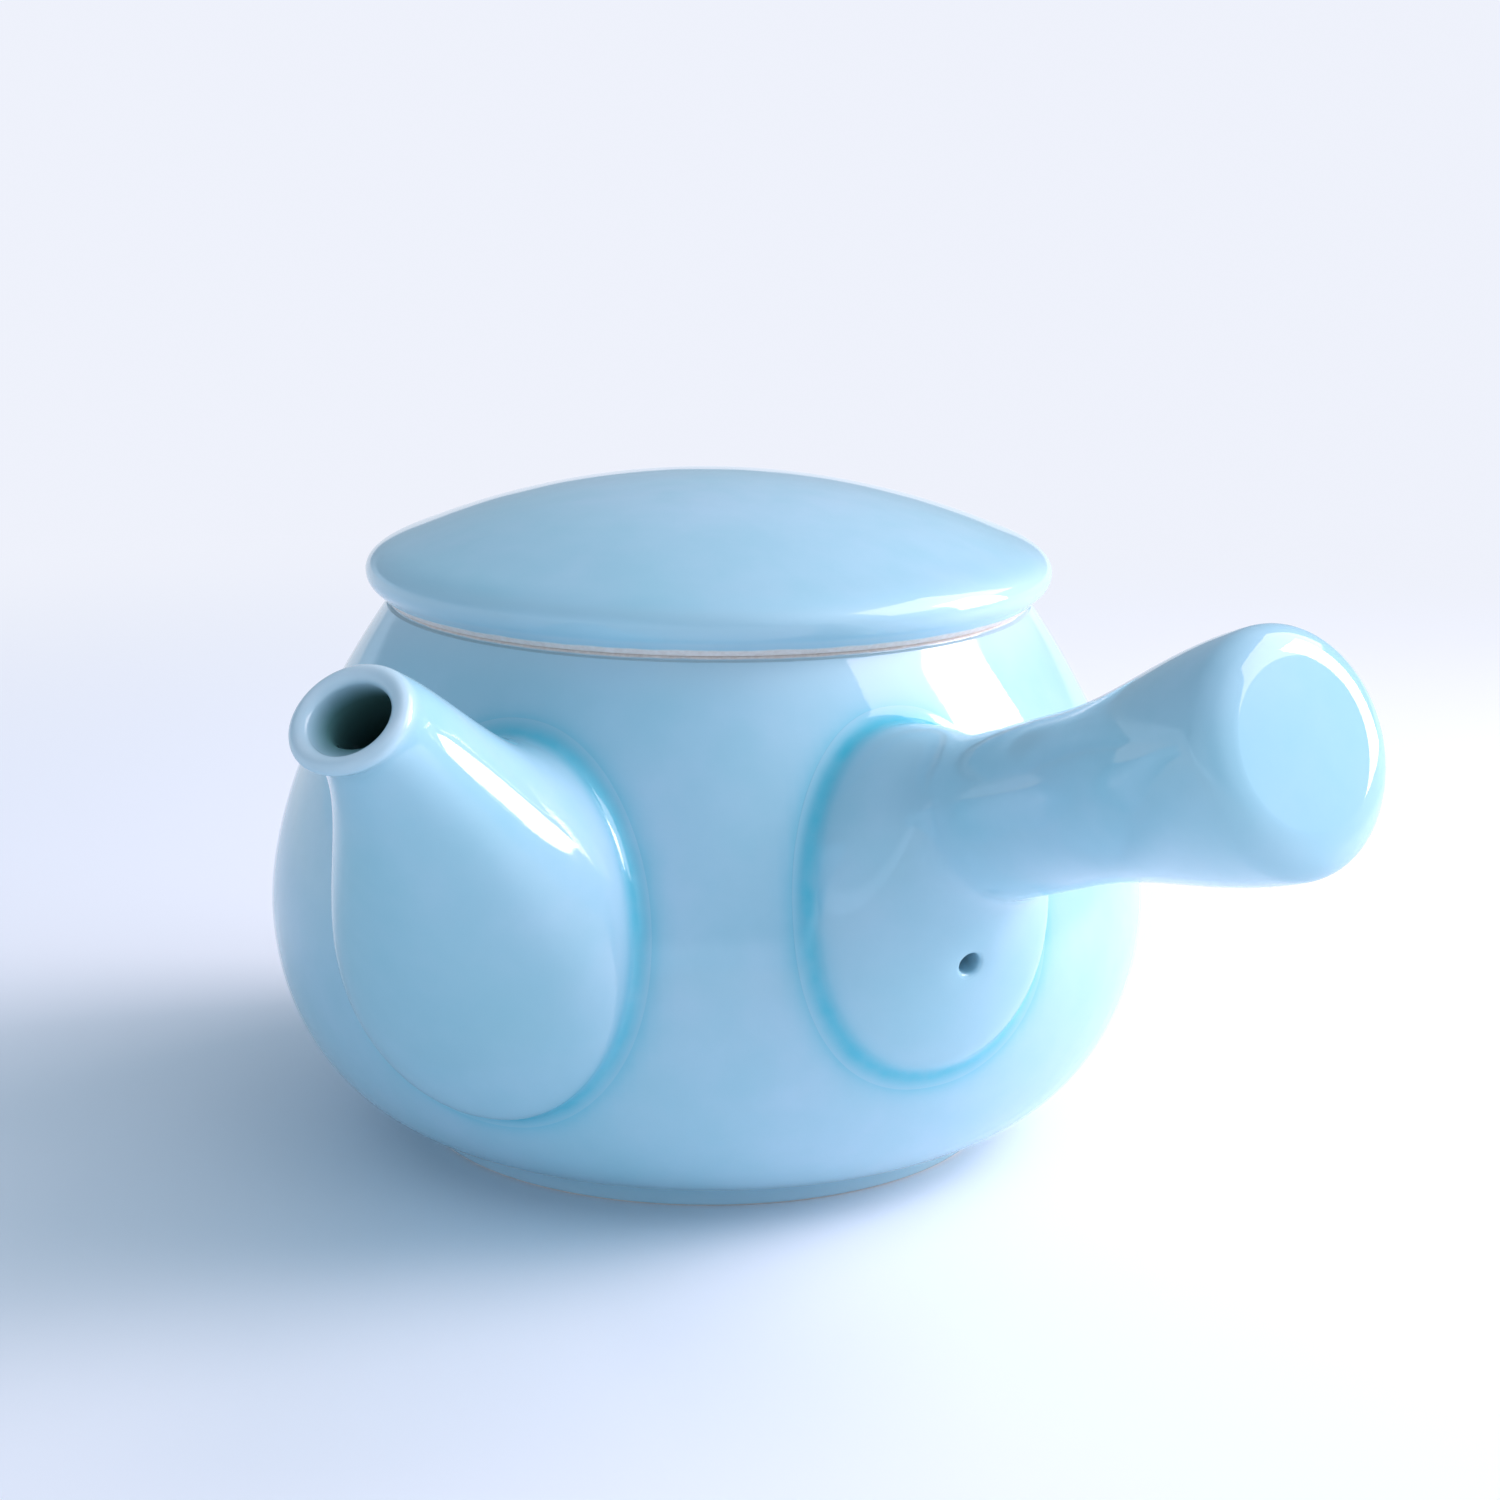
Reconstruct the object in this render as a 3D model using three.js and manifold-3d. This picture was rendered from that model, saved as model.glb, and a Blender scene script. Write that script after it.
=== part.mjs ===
// A side-handled Japanese teapot in pale blue glazed porcelain: a thrown pot, a luted spout,
// a hollow luted handle, a pierced strainer behind the spout and a knobless domed lid.
// Millimetres, +Z up. The pot turns about Z, stands on Z = 0, and the handle points along +X.

import * as THREE from 'three';
import { mergeVertices } from 'three/addons/utils/BufferGeometryUtils.js';
import Module from 'manifold-3d';

const wasm = await Module();
wasm.setup();

// Pot
const bellyRadius = 55;
const bellyHeight = 29.3;
const rimRadius = 39.6;
const rimHeight = 67.3;
const shoulderCurve = 1.73;
const bellyCurve = 0.885;
const footRadius = 36.4;
const footRingWidth = 4.4;
const footEdge = 0.5;
const recessDepth = 1;
const recessSlope = 0.8;
const potBaseRadius = 31.2;
const potBaseHeight = 1.9;
const potWall = 3;
const potFloor = 3.6;
const mouthRadius = 35.6;
const rimEdge = 0.6;

// Lid
const lidRadius = 42.6;
const lidWidestHeight = 4.6;
const lidDomeHeight = 10.4;
const lidWall = 3.2;
const lidEdgeRadius = 2.6;
const lidSeatGap = 0.3;
const lidSeatOverhang = 0.5;
const flangeClearance = 0.6;
const flangeThickness = 2.8;
const flangeDepth = 6;
const flangeEdge = 0.8;

// Spout
const spoutAngle = -63.5;
const spoutBaseHalfAngle = 19.5;
const spoutBaseAboveBelly = 7.3;
const spoutBaseHalfHeight = 21.4;
const spoutBaseSquareness = 2.1;
const spoutBaseLift = -10;
const spoutBaseReach = 30.5;
const spoutBaseSpread = 0.24;
const spoutReach = 23.6;
const mouthBelowRim = 1;
const mouthTilt = 46;
const mouthOuterRadius = 7.15;
const mouthHoleRadius = 4.6;
const spoutEndLift = 3;
const spoutEndReach = 32.6;
const spoutEndSpread = 0.33;
const spoutWall = 2.8;
const lipRound = 1.1;

// Handle
const handleSideOffset = -3.75;
const handleTilt = 20.2;
const handleReach = 51;
const handleEndAboveRim = 1.3;
const handleEndRadius = 13;
const handleEndFaceRadius = 9;
const handleEndEdgeDepth = 2.2;
const handleWaistRadius = 9.5;
const handleWaistToEnd = 47.3;
const handleWaistLength = 13;
const handleBaseAngle = -7.2;
const handleBaseHalfAngle = 16;
const handleBaseAboveBelly = 10.8;
const handleBaseHalfHeight = 19.4;
const handleBaseSquareness = 2.2;
const handleBaseLift = 25;
const handleBaseReach = 22.3;
const handleBaseSpread = -0.2;
const handleWaistReach = 21.5;
const handleWall = 2.9;
const handleEndWall = 4;
const ventHoleRadius = 1.3;
const ventHoleSideAngle = 5.6;
const ventHolePlace = 0.571;

// Strainer, and the hole in the pot's wall that it covers
const strainerAboveBelly = 4.2;
const strainerRadius = 16.5;
const strainerBulge = 8;
const strainerWall = 2.2;
const strainerCollar = 5;
const strainerEdgeStep = 0.3;
const strainerHoleRadius = 0.9;
const strainerHolePitch = 3.2;
const strainerRows = 4;
const pouringHoleRadius = 13;

// Fits: what is luted to the pot keeps this joint width
const luteGap = 0.3;

// Facets: round a turn and round a luted part, and along each of the curves
const turnSteps = 48;
const ringSteps = 30;
const wallSteps = 8;
const insideWallSteps = 6;
const spoutSteps = 12;
const channelSteps = 9;
const handleSteps = 12;
const hollowSteps = 6;
const gripSteps = 7;
const domeSteps = 9;
const strainerSteps = 32;
const strainerHoleSteps = 8;

const degrees = Math.PI / 180;
const strainerHeight = bellyHeight + strainerAboveBelly;
const yUpToZUp = new THREE.Matrix4().makeRotationX(Math.PI / 2);

const glaze = { color: 0x9cc9dc, roughness: 0.12, metalness: 0 };
const insideGlaze = { color: 0xb4d6e2, roughness: 0.2, metalness: 0 };

// Solids

function toSolid(geometry) {
  const bare = geometry.clone();
  bare.deleteAttribute('normal');
  bare.deleteAttribute('uv');
  const merged = mergeVertices(bare, 1e-4);
  const corners = merged.index.array;
  const triangles = [];
  for (let i = 0; i < corners.length; i += 3) {
    const [a, b, c] = [corners[i], corners[i + 1], corners[i + 2]];
    if (a !== b && b !== c && c !== a) triangles.push(a, b, c);
  }
  return new wasm.Manifold(new wasm.Mesh({
    numProp: 3,
    vertProperties: new Float32Array(merged.attributes.position.array),
    triVerts: new Uint32Array(triangles),
  }));
}

function toGeometry(solid) {
  const mesh = solid.getMesh();
  const geometry = new THREE.BufferGeometry();
  geometry.setAttribute('position', new THREE.BufferAttribute(new Float32Array(mesh.vertProperties), 3));
  geometry.setIndex(new THREE.BufferAttribute(new Uint32Array(mesh.triVerts), 1));
  return geometry;
}

// A profile that doesn't begin on the axis is closed on itself.
function revolve(profile, steps = turnSteps) {
  const closed = profile[0].x === 0 ? profile : [...profile, profile[0].clone()];
  const geometry = new THREE.LatheGeometry(closed, steps);
  geometry.applyMatrix4(yUpToZUp);
  return toSolid(geometry);
}

// A closed skin over rings of points that run counter-clockwise round the way the rings go.
function skin(rings) {
  const count = rings[0].length;
  const points = rings.flat();
  const triangles = [];
  for (let row = 0; row < rings.length - 1; row += 1) {
    for (let k = 0; k < count; k += 1) {
      const a = row * count + k;
      const b = row * count + (k + 1) % count;
      triangles.push(a, b, a + count, b, b + count, a + count);
    }
  }
  const first = points.length;
  const last = first + 1;
  points.push(middle(rings[0]), middle(rings[rings.length - 1]));
  const lastRow = (rings.length - 1) * count;
  for (let k = 0; k < count; k += 1) {
    const next = (k + 1) % count;
    triangles.push(first, next, k);
    triangles.push(last, lastRow + k, lastRow + next);
  }
  const geometry = new THREE.BufferGeometry().setFromPoints(points);
  geometry.setIndex(triangles);
  return toSolid(geometry);
}

function middle(ring) {
  const sum = new THREE.Vector3();
  for (const point of ring) sum.add(point);
  return sum.divideScalar(ring.length);
}

function arc(centreR, centreZ, radius, fromAngle, toAngle, steps) {
  const points = [];
  for (let i = 0; i <= steps; i += 1) {
    const angle = (fromAngle + (toAngle - fromAngle) * i / steps) * degrees;
    points.push(new THREE.Vector2(centreR + radius * Math.cos(angle), centreZ + radius * Math.sin(angle)));
  }
  return points;
}

// Pot

const outerWall = {
  widest: bellyRadius,
  bottomRadius: potBaseRadius,
  bottomHeight: potBaseHeight,
  topRadius: rimRadius,
};
const innerWall = {
  widest: bellyRadius - potWall,
  bottomRadius: potBaseRadius - potWall,
  bottomHeight: recessDepth + potFloor,
  topRadius: mouthRadius,
};

const shoulderSlope = Math.atan((bellyRadius - rimRadius) * shoulderCurve / (rimHeight - bellyHeight));

// The pot's side: an oval quarter below the belly, and a shoulder that straightens to the rim.
function wallRadius(wall, height) {
  if (height >= bellyHeight) {
    const rise = (height - bellyHeight) / (rimHeight - bellyHeight);
    return wall.widest - (wall.widest - wall.topRadius) * rise ** shoulderCurve;
  }
  const drop = Math.min((bellyHeight - height) / (bellyHeight - wall.bottomHeight), 1);
  const spread = Math.sqrt(1 - drop * drop) ** bellyCurve;
  return wall.bottomRadius + (wall.widest - wall.bottomRadius) * spread;
}

// The height below the belly at which the side has a given radius.
function heightUnderBelly(wall, radius) {
  const spread = ((radius - wall.bottomRadius) / (wall.widest - wall.bottomRadius)) ** (1 / bellyCurve);
  return bellyHeight - (bellyHeight - wall.bottomHeight) * Math.sqrt(1 - spread * spread);
}

function wallProfile(wall, fromHeight, toHeight, steps) {
  const points = [];
  const startAngle = Math.acos(Math.min((bellyHeight - fromHeight) / (bellyHeight - wall.bottomHeight), 1));
  for (let i = 0; i < steps; i += 1) {
    const angle = startAngle + (Math.PI / 2 - startAngle) * i / steps;
    const height = bellyHeight - (bellyHeight - wall.bottomHeight) * Math.cos(angle);
    points.push(new THREE.Vector2(wallRadius(wall, height), height));
  }
  for (let i = 0; i <= steps; i += 1) {
    const height = bellyHeight + (toHeight - bellyHeight) * i / steps;
    points.push(new THREE.Vector2(wallRadius(wall, height), height));
  }
  return points;
}

// The same wall moved out by a distance, to cut what is luted on it or seats inside it.
function movedWall(wall, distance) {
  return {
    widest: wall.widest + distance,
    bottomRadius: wall.bottomRadius + distance,
    bottomHeight: wall.bottomHeight - distance,
    topRadius: wall.topRadius + distance / Math.cos(shoulderSlope),
  };
}

function solidWall(wall, topHeight) {
  const profile = wallProfile(wall, wall.bottomHeight, topHeight, wallSteps);
  profile.unshift(new THREE.Vector2(0, wall.bottomHeight));
  profile.push(new THREE.Vector2(0, topHeight));
  return revolve(profile);
}

function potBody() {
  const footInner = footRadius - footRingWidth;
  const profile = [
    new THREE.Vector2(0, recessDepth),
    new THREE.Vector2(footInner - recessSlope, recessDepth),
    new THREE.Vector2(footInner, 0),
    new THREE.Vector2(footRadius - footEdge, 0),
    new THREE.Vector2(footRadius, footEdge),
    ...wallProfile(outerWall, heightUnderBelly(outerWall, footRadius), rimHeight - rimEdge, wallSteps),
    ...arc(rimRadius - rimEdge, rimHeight - rimEdge, rimEdge, 45, 90, 1),
    ...arc(mouthRadius + rimEdge, rimHeight - rimEdge, rimEdge, 90, 135, 1),
    ...wallProfile(innerWall, innerWall.bottomHeight, rimHeight - rimEdge, insideWallSteps).reverse(),
    new THREE.Vector2(0, innerWall.bottomHeight),
  ];
  const pouringHole = new THREE.CylinderGeometry(pouringHoleRadius, pouringHoleRadius, bellyRadius, strainerSteps);
  pouringHole.rotateZ(Math.PI / 2);
  pouringHole.translate(bellyRadius, 0, strainerHeight);
  pouringHole.rotateZ(spoutAngle * degrees);
  return revolve(profile).subtract(toSolid(pouringHole));
}

// Luted parts: a form that starts as an oval on the pot's wall and ends as a circle in the air.
// Each line along it is a cubic with a set direction and reach at both ends.

function pointOnWall(wall, angle, height) {
  const radius = wallRadius(wall, height);
  return new THREE.Vector3(radius * Math.cos(angle), radius * Math.sin(angle), height);
}

function axesAt(tilt) {
  const out = new THREE.Vector3(Math.cos(tilt * degrees), 0, Math.sin(tilt * degrees));
  const side = new THREE.Vector3(0, 1, 0);
  return { out, side, up: out.clone().cross(side) };
}

function spoke(axes, angle) {
  return axes.side.clone().multiplyScalar(Math.cos(angle)).addScaledVector(axes.up, Math.sin(angle));
}

function ovalPower(value, squareness) {
  return Math.sign(value) * Math.abs(value) ** (2 / squareness);
}

function lutedPoint(form, along, angle) {
  const baseAxes = axesAt(form.baseLift);
  const endAxes = axesAt(form.endTilt);
  const arriveAxes = axesAt(form.endLift);
  const across = ovalPower(Math.cos(angle), form.baseSquareness);
  const upward = ovalPower(Math.sin(angle), form.baseSquareness);
  const wallAngle = (form.baseAngle + form.baseHalfAngle * across) * degrees;
  const start = pointOnWall(outerWall, wallAngle, form.baseCentreHeight + form.baseHalfHeight * upward);
  const end = form.endCentre.clone().addScaledVector(spoke(endAxes, angle), form.endRadius);
  const leave = baseAxes.out.clone().addScaledVector(spoke(baseAxes, angle), form.baseSpread);
  const arrive = arriveAxes.out.clone().addScaledVector(spoke(arriveAxes, angle), form.endSpread);
  const t = along;
  return new THREE.Vector3()
    .addScaledVector(start, 2 * t ** 3 - 3 * t ** 2 + 1)
    .addScaledVector(leave, form.baseReach * (t ** 3 - 2 * t ** 2 + t))
    .addScaledVector(end, 3 * t ** 2 - 2 * t ** 3)
    .addScaledVector(arrive, form.endReach * (t ** 3 - t ** 2));
}

function ringAngle(step) {
  return 2 * Math.PI * (step + 0.5) / ringSteps;
}

function lutedNormal(form, along, angle) {
  const step = 0.001;
  const onward = lutedPoint(form, along + step, angle).sub(lutedPoint(form, along - step, angle));
  const round = lutedPoint(form, along, angle + step).sub(lutedPoint(form, along, angle - step));
  return round.cross(onward).normalize();
}

// Rings from the pot outwards, on the form's skin or a wall's thickness inside it.
function lutedRings(form, rows, inset = 0) {
  const rings = [];
  for (let row = 0; row <= rows; row += 1) {
    const ring = [];
    for (let step = 0; step < ringSteps; step += 1) {
      const along = row / rows;
      const angle = ringAngle(step);
      const normal = lutedNormal(form, along, angle);
      ring.push(lutedPoint(form, along, angle).addScaledVector(normal, -inset));
    }
    rings.push(ring);
  }
  return rings;
}

// The first ring pushed into the pot, so that the pot's own wall can cut the form to fit.
function rootRing(ring, depth) {
  return ring.map((point) => {
    const inward = new THREE.Vector3(point.x, point.y, 0).normalize().multiplyScalar(-depth);
    return point.clone().add(inward);
  });
}

function circleRing(centre, axes, radius) {
  const ring = [];
  for (let step = 0; step < ringSteps; step += 1) {
    ring.push(centre.clone().addScaledVector(spoke(axes, ringAngle(step)), radius));
  }
  return ring;
}

// Spout

const spoutForm = {
  baseAngle: 0,
  baseHalfAngle: spoutBaseHalfAngle,
  baseCentreHeight: bellyHeight + spoutBaseAboveBelly,
  baseHalfHeight: spoutBaseHalfHeight,
  baseSquareness: spoutBaseSquareness,
  baseLift: spoutBaseLift,
  baseReach: spoutBaseReach,
  baseSpread: spoutBaseSpread,
  endCentre: new THREE.Vector3(bellyRadius + spoutReach, 0, rimHeight - mouthBelowRim),
  endTilt: mouthTilt,
  endRadius: mouthOuterRadius,
  endLift: spoutEndLift,
  endReach: spoutEndReach,
  endSpread: spoutEndSpread,
};

// Rings that take a mouth's edge from its side round to its flat face.
function roundedEdge(centre, axes, radius, depth, inset) {
  return [30, 60, 90].map((turn) => {
    const forward = centre.clone().addScaledVector(axes.out, depth * Math.sin(turn * degrees));
    return circleRing(forward, axes, radius - inset * (1 - Math.cos(turn * degrees)));
  });
}

function spout(wallCutter) {
  const axes = axesAt(mouthTilt);
  const outside = lutedRings(spoutForm, spoutSteps);
  outside.unshift(rootRing(outside[0], potWall));
  outside.push(...roundedEdge(spoutForm.endCentre, axes, mouthOuterRadius, lipRound, lipRound));
  const channel = lutedRings(spoutForm, channelSteps, spoutWall).slice(0, -1);
  channel.unshift(rootRing(channel[0], 2 * potWall));
  channel.push(circleRing(spoutForm.endCentre, axes, mouthHoleRadius));
  channel.push(...roundedEdge(spoutForm.endCentre, axes, mouthHoleRadius, lipRound, -lipRound));
  const beyond = spoutForm.endCentre.clone().addScaledVector(axes.out, 2 * lipRound);
  channel.push(circleRing(beyond, axes, mouthHoleRadius + lipRound));
  return skin(outside).subtract(skin(channel)).subtract(wallCutter);
}

// Handle

const handleEnd = new THREE.Vector3(
  bellyRadius + handleReach,
  handleSideOffset,
  rimHeight + handleEndAboveRim,
);

function alongHandle(distanceFromEnd) {
  return handleEnd.clone().addScaledVector(axesAt(handleTilt).out, -distanceFromEnd);
}

const handleForm = {
  baseAngle: handleBaseAngle,
  baseHalfAngle: handleBaseHalfAngle,
  baseCentreHeight: bellyHeight + handleBaseAboveBelly,
  baseHalfHeight: handleBaseHalfHeight,
  baseSquareness: handleBaseSquareness,
  baseLift: handleBaseLift,
  baseReach: handleBaseReach,
  baseSpread: handleBaseSpread,
  endCentre: alongHandle(handleWaistToEnd),
  endTilt: handleTilt,
  endRadius: handleWaistRadius,
  endLift: handleTilt,
  endReach: handleWaistReach,
  endSpread: 0,
};

// The grip swells from the waist to the end in one smooth curve.
function gripRadius(distanceFromEnd) {
  const swellLength = handleWaistToEnd - handleWaistLength - handleEndEdgeDepth;
  const along = THREE.MathUtils.clamp((distanceFromEnd - handleEndEdgeDepth) / swellLength, 0, 1);
  const share = (1 + Math.cos(Math.PI * along)) / 2;
  return handleWaistRadius + (handleEndRadius - handleWaistRadius) * share;
}

function gripRings(wall, endDistance, steps) {
  const axes = axesAt(handleTilt);
  const rings = [];
  for (let i = 1; i <= steps; i += 1) {
    const distance = handleWaistToEnd + (endDistance - handleWaistToEnd) * i / steps;
    rings.push(circleRing(alongHandle(distance), axes, gripRadius(distance) - wall));
  }
  return rings;
}

function handle(wallCutter) {
  const axes = axesAt(handleTilt);
  const outside = lutedRings(handleForm, handleSteps);
  outside.unshift(rootRing(outside[0], potWall));
  outside.push(...gripRings(0, handleEndEdgeDepth, gripSteps));
  const edgeStart = alongHandle(handleEndEdgeDepth);
  const edgeInset = handleEndRadius - handleEndFaceRadius;
  outside.push(...roundedEdge(edgeStart, axes, handleEndRadius, handleEndEdgeDepth, edgeInset));
  const hollow = lutedRings(handleForm, hollowSteps, handleWall);
  hollow.unshift(rootRing(hollow[0], 2 * potWall));
  hollow.push(...gripRings(handleWall, handleEndWall, hollowSteps));
  return skin(outside).subtract(skin(hollow)).subtract(ventHole()).subtract(wallCutter);
}

// A small hole low on the flare lets the air out of the hollow handle in the kiln.
function ventHole() {
  const angle = (270 - ventHoleSideAngle) * degrees;
  const point = lutedPoint(handleForm, ventHolePlace, angle);
  const normal = lutedNormal(handleForm, ventHolePlace, angle);
  const drill = new THREE.CylinderGeometry(ventHoleRadius, ventHoleRadius, 3 * handleWall, 16);
  drill.applyQuaternion(new THREE.Quaternion().setFromUnitVectors(new THREE.Vector3(0, 1, 0), normal));
  drill.translate(point.x, point.y, point.z);
  return toSolid(drill);
}

// Strainer: a thin disc pierced in rings, pressed into a shallow dome, on a short collar that
// meets the inside of the wall round the pouring hole.
function strainer(insideOfPot) {
  const sphereRadius = (strainerRadius ** 2 + strainerBulge ** 2) / (2 * strainerBulge);
  const domeRise = (radius) => Math.sqrt(sphereRadius ** 2 - radius ** 2) - (sphereRadius - strainerBulge);
  const disc = new THREE.Shape(circlePoints(0, 0, strainerRadius, strainerSteps));
  for (let row = 0; row <= strainerRows; row += 1) {
    const count = Math.max(1, 6 * row);
    for (let k = 0; k < count; k += 1) {
      const turn = 2 * Math.PI * k / count;
      const away = row * strainerHolePitch;
      const hole = circlePoints(away * Math.cos(turn), away * Math.sin(turn), strainerHoleRadius, strainerHoleSteps);
      disc.holes.push(new THREE.Path(hole));
    }
  }
  const dome = new THREE.ExtrudeGeometry(disc, { depth: strainerWall, bevelEnabled: false });
  const places = dome.attributes.position;
  for (let i = 0; i < places.count; i += 1) {
    const fromMiddle = Math.min(Math.hypot(places.getX(i), places.getY(i)), strainerRadius);
    places.setZ(i, places.getZ(i) + domeRise(fromMiddle));
  }
  const collarOuter = strainerRadius - strainerEdgeStep;
  const collarInner = strainerRadius - strainerWall;
  const collar = revolve([
    new THREE.Vector2(collarInner, -strainerCollar),
    new THREE.Vector2(collarOuter, -strainerCollar),
    new THREE.Vector2(collarOuter, domeRise(collarOuter) + strainerWall / 2),
    new THREE.Vector2(collarInner, domeRise(collarInner) + strainerWall / 2),
  ], strainerSteps);
  const placed = toGeometry(toSolid(dome).add(collar));
  placed.rotateY(-Math.PI / 2);
  placed.translate(wallRadius(innerWall, strainerHeight) - strainerCollar / 2, 0, strainerHeight);
  placed.rotateZ(spoutAngle * degrees);
  return toSolid(placed).intersect(insideOfPot);
}

function circlePoints(x, y, radius, count) {
  const points = [];
  for (let i = 0; i < count; i += 1) {
    const angle = 2 * Math.PI * i / count;
    points.push(new THREE.Vector2(x + radius * Math.cos(angle), y + radius * Math.sin(angle)));
  }
  return points;
}

// Lid: a shallow dome with a rounded overhanging edge, a flat seat and a flange in the mouth.
function lid() {
  const seat = rimHeight + lidSeatGap;
  const widest = rimHeight + lidWidestHeight;
  const domeRadius = (lidRadius ** 2 + lidDomeHeight ** 2) / (2 * lidDomeHeight);
  const domeCentre = widest + lidDomeHeight - domeRadius;
  const edgeCentreR = lidRadius - lidEdgeRadius;
  const edgeReach = domeRadius - lidEdgeRadius;
  const edgeCentreZ = domeCentre + Math.sqrt(edgeReach ** 2 - edgeCentreR ** 2);
  const edgeTop = Math.atan2(edgeCentreZ - domeCentre, edgeCentreR) / degrees;
  const flangeOuter = mouthRadius - flangeClearance;
  const flangeInner = flangeOuter - flangeThickness;
  const flangeBottom = rimHeight - flangeDepth;
  const undersideRadius = domeRadius - lidWall;
  const undersideEdge = Math.acos(flangeInner / undersideRadius) / degrees;
  const profile = [
    ...arc(flangeInner + flangeEdge, flangeBottom + flangeEdge, flangeEdge, 180, 270, 2),
    ...arc(flangeOuter - flangeEdge, flangeBottom + flangeEdge, flangeEdge, 270, 360, 2),
    new THREE.Vector2(flangeOuter, seat),
    new THREE.Vector2(rimRadius + lidSeatOverhang, seat),
    ...arc(edgeCentreR, edgeCentreZ, lidEdgeRadius, -35, edgeTop, 5),
    ...arc(0, domeCentre, domeRadius, edgeTop, 90, domeSteps).slice(1),
    ...arc(0, domeCentre, undersideRadius, 90, undersideEdge, insideWallSteps),
  ];
  return revolve(profile);
}

function named(name, solid, finish) {
  const mesh = new THREE.Mesh(toGeometry(solid), new THREE.MeshStandardMaterial(finish));
  mesh.name = name;
  return mesh;
}

const wallCutter = solidWall(movedWall(outerWall, luteGap), rimHeight);
const insideOfPot = solidWall(movedWall(innerWall, -luteGap), rimHeight);

const teapot = new THREE.Group();
teapot.add(named('pot_body', potBody(), glaze));
teapot.add(named('handle', handle(wallCutter), glaze));
teapot.add(named('strainer', strainer(insideOfPot), insideGlaze));
teapot.add(named('lid', lid(), glaze));

// The spout is built pointing along +X, and turned to its own side of the pot.
const spoutMesh = named('spout', spout(wallCutter), glaze);
spoutMesh.rotation.z = spoutAngle * degrees;
teapot.add(spoutMesh);

export default teapot;
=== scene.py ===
import math

import bpy
from mathutils import Euler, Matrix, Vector, kdtree


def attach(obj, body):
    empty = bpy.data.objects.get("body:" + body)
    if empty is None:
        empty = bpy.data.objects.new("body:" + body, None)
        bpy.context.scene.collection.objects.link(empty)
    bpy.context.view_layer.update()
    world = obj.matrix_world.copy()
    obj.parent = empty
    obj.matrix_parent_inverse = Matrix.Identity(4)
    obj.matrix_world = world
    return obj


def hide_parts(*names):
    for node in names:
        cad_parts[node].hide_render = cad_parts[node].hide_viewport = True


# A side-handled teapot in pale blue glazed porcelain.
# Metres, +Z up, the pot thrown about Z, the handle along +X.

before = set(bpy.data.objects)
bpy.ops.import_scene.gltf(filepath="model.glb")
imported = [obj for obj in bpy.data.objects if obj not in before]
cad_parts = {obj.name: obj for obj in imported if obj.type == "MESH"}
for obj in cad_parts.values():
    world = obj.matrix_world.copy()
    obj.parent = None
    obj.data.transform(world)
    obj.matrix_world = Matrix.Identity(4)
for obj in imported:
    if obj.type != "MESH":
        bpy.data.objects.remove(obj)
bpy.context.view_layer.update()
print("frame loaded:", sorted(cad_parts))


# mesh tools

mergeDistance = 2e-6
shortestStep = 1e-5


def deselectAll():
    if bpy.context.object and bpy.context.object.mode != 'OBJECT':
        bpy.ops.object.mode_set(mode='OBJECT')
    bpy.ops.object.select_all(action='DESELECT')


def selectOnly(piece):
    deselectAll()
    piece.select_set(True)
    bpy.context.view_layer.objects.active = piece


def startEditing(piece):
    selectOnly(piece)
    bpy.ops.object.mode_set(mode='EDIT')
    bpy.ops.mesh.select_all(action='SELECT')


def closeUp():
    # merges what meets, turns the faces outwards and ends the editing
    bpy.ops.mesh.remove_doubles(threshold=mergeDistance)
    bpy.ops.mesh.normals_make_consistent(inside=False)
    bpy.ops.object.mode_set(mode='OBJECT')


def cutWith(piece, cutter, operation='DIFFERENCE'):
    cut = piece.modifiers.new("cut", 'BOOLEAN')
    cut.operation = operation
    cut.object = cutter
    selectOnly(piece)
    bpy.ops.object.modifier_apply(modifier=cut.name)
    bpy.data.objects.remove(cutter)


def smoothFaces(piece, degrees):
    selectOnly(piece)
    bpy.ops.object.shade_smooth_by_angle(angle=math.radians(degrees))


def arcPoints(centre, radius, fromDegrees, toDegrees, steps):
    points = []
    for i in range(steps + 1):
        turn = math.radians(fromDegrees + (toDegrees - fromDegrees) * i / steps)
        points.append((centre[0] + radius * math.cos(turn), centre[1] + radius * math.sin(turn)))
    return points


def linePoints(start, end, steps):
    return [(start[0] + (end[0] - start[0]) * i / steps, start[1] + (end[1] - start[1]) * i / steps)
            for i in range(steps + 1)]


def pulledPoints(start, startPull, endPull, end, steps):
    # a cubic line that leaves for its first pull and arrives from its second
    points = []
    for i in range(steps + 1):
        t = i / steps
        shares = ((start, (1 - t) ** 3), (startPull, 3 * t * (1 - t) ** 2),
                  (endPull, 3 * t * t * (1 - t)), (end, t ** 3))
        points.append(tuple(sum(place[k] * share for place, share in shares) for k in (0, 1)))
    return points


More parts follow.
